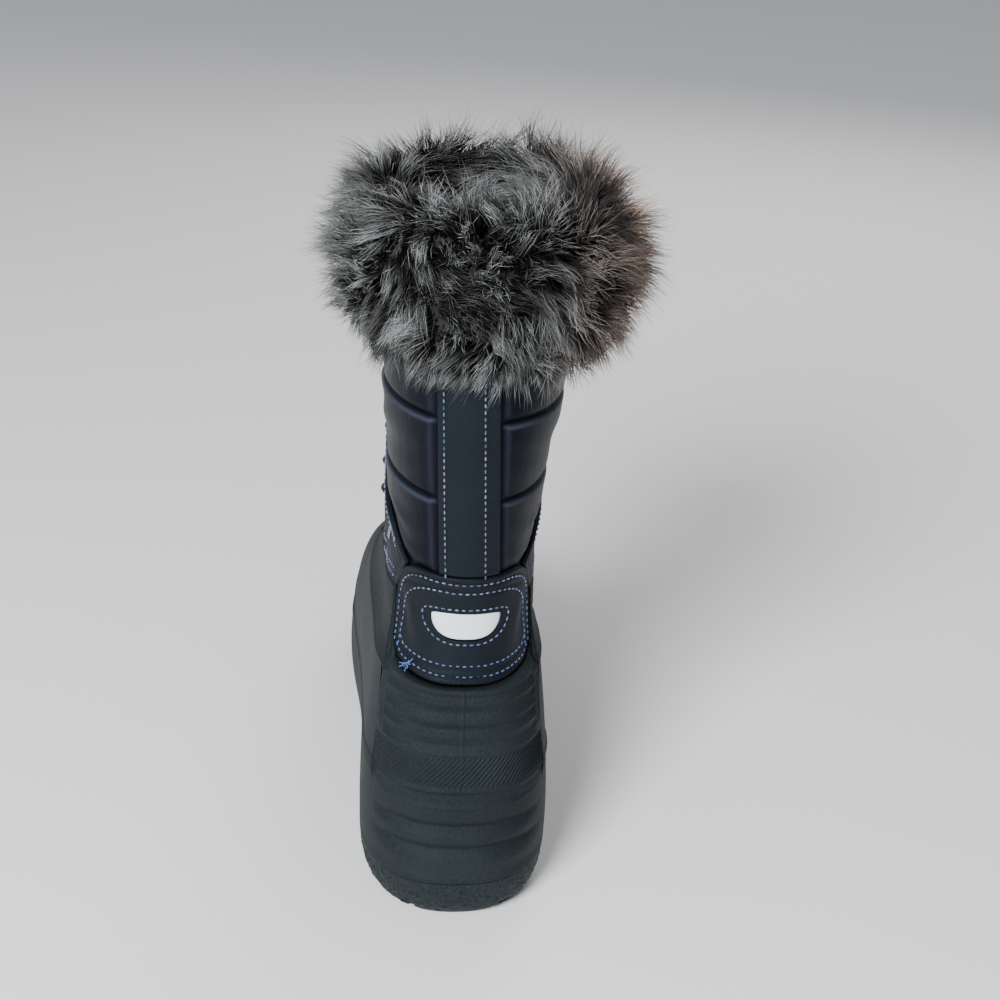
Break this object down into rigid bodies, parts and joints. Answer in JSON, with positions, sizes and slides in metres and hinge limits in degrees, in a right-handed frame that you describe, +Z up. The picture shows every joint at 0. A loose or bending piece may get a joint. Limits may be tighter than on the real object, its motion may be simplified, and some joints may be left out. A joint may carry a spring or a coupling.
{
  "type": "snow boot",
  "caption": "Right-foot winter snow boot: moulded shell and lugged outsole, padded textile upper with overlays, crossed elastic lace and a deep fur cuff, standing empty.",
  "frame": {"origin": "on the floor under the middle of the heel, 38 mm in front of the back of the shell", "axes": "+Z up, toe towards -Y, big-toe (inner) side towards +X"},
  "size_m": [0.1213, 0.2928, 0.2779],
  "materials": {
    "shell_rubber": "satin moulded foam rubber, dark blue-grey",
    "tread": "stippled moulded rubber",
    "nylon": "navy-black nylon, padded and quilted",
    "overlay": "matt navy-charcoal leather look",
    "felt": "grey felt",
    "fur": "long pile, charcoal at the root and silver at the tip",
    "plastic": "satin black moulding",
    "cord": "braided black elastic cord",
    "reflector": "silver-white reflective film"
  },
  "bodies": {
    "root": {"outsole": "tread", "shell": "shell_rubber", "upper": "nylon", "insole": "felt", "tongue": "nylon", "heel_counter": "overlay", "reflector": "reflector", "backstay": "overlay", "facing_medial": "overlay", "facing_lateral": "overlay", "fur_cuff": "fur", "lace": "cord", "lace_end_medial": "cord", "lace_end_lateral": "cord", "lace_clip": "plastic", "lace_loop_medial_1": "plastic", "lace_loop_medial_2": "plastic", "lace_loop_medial_3": "plastic", "lace_loop_medial_4": "plastic", "lace_loop_medial_5": "plastic", "lace_loop_lateral_1": "plastic", "lace_loop_lateral_2": "plastic", "lace_loop_lateral_3": "plastic", "lace_loop_lateral_4": "plastic", "lace_loop_lateral_5": "plastic"}
  },
  "joints": []
}
